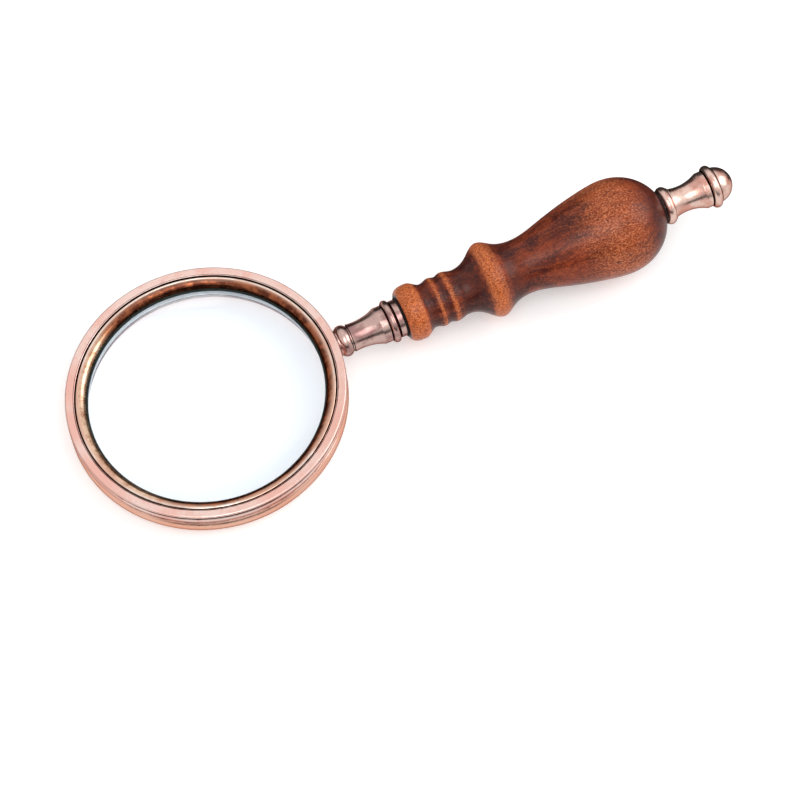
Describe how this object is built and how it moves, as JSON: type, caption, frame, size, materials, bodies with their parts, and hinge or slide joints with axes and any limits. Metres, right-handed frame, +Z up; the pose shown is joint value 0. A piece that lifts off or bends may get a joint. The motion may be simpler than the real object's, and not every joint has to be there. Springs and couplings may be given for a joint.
{
  "type": "magnifying glass",
  "caption": "Hand magnifying glass: a round lens in a copper-toned beaded ring, on a turned wooden handle with metal fittings that unscrews.",
  "frame": {"origin": "middle of the footprint on the table, at table height, with the object lying on the far edge of its ring and on the bulb of its handle", "axes": "+X along the handle towards the tail, +Z up from the table; the ring lies 3.16 degrees out of level, its far side low"},
  "size_m": [0.2248, 0.088, 0.0312],
  "materials": {
    "ring_copper": "brushed antique copper plating",
    "bezel_copper": "polished antique copper plating with dark patina",
    "neck_copper": "polished copper plating with a mauve cast",
    "tail_copper": "polished copper plating with dark grooves",
    "lacquered_wood": "red-brown hardwood under clear gloss lacquer",
    "lens_glass": "clear polished optical glass",
    "gasket_rubber": "matte dark rubber",
    "washer_fibre": "matte black fibre",
    "rod_steel": "bright zinc-plated steel"
  },
  "bodies": {
    "frame": {"lens_frame": "ring_copper", "rear_gasket": "gasket_rubber", "lens": "lens_glass"},
    "gasket": {"front_gasket": "gasket_rubber"},
    "bezel": {"retaining_ring": "bezel_copper"},
    "neck": {"neck_bead": "neck_copper"},
    "handle": {"neck_column": "neck_copper", "neck_ring": "neck_copper", "handle_collar": "neck_copper", "front_washer": "washer_fibre", "wood_handle": "lacquered_wood", "rear_washer": "washer_fibre", "tail_bead": "tail_copper", "tail_column": "tail_copper", "tie_rod": "rod_steel"},
    "tail_collar": {"tail_ring": "tail_copper"},
    "knob": {"tail_knob": "tail_copper"}
  },
  "joints": [
    {"name": "bezel_lift", "type": "slide", "parent": "frame", "child": "gasket", "axis": [-0.0552, 0, 0.9985], "range_m": [0, 0.0024]},
    {"name": "bezel_turn", "type": "hinge", "parent": "gasket", "child": "bezel", "pos_m": [-0.06831, 0, 0.00785], "axis": [-0.0552, 0, 0.9985], "range_deg": [0, 1152.1]},
    {"name": "handle_draw", "type": "slide", "parent": "frame", "child": "neck", "axis": [0.9985, 0, 0.0552], "range_m": [0, 0.00438]},
    {"name": "handle_turn", "type": "hinge", "parent": "neck", "child": "handle", "pos_m": [-0.02423, 0, 0.01028], "axis": [0.9985, 0, 0.0552], "range_deg": [0, 2250.1]},
    {"name": "knob_draw", "type": "slide", "parent": "handle", "child": "tail_collar", "axis": [0.9985, 0, 0.0552], "range_m": [0, 0.0035]},
    {"name": "knob_turn", "type": "hinge", "parent": "tail_collar", "child": "knob", "pos_m": [0.10737, 0, 0.01756], "axis": [0.9985, 0, 0.0552], "range_deg": [0, 1800.1]}
  ],
  "couplings": [
    {"joint": "bezel_turn", "follows": "bezel_lift", "rad_per_m": 8377.6},
    {"joint": "handle_turn", "follows": "handle_draw", "rad_per_m": 8976},
    {"joint": "knob_turn", "follows": "knob_draw", "rad_per_m": 8976}
  ]
}
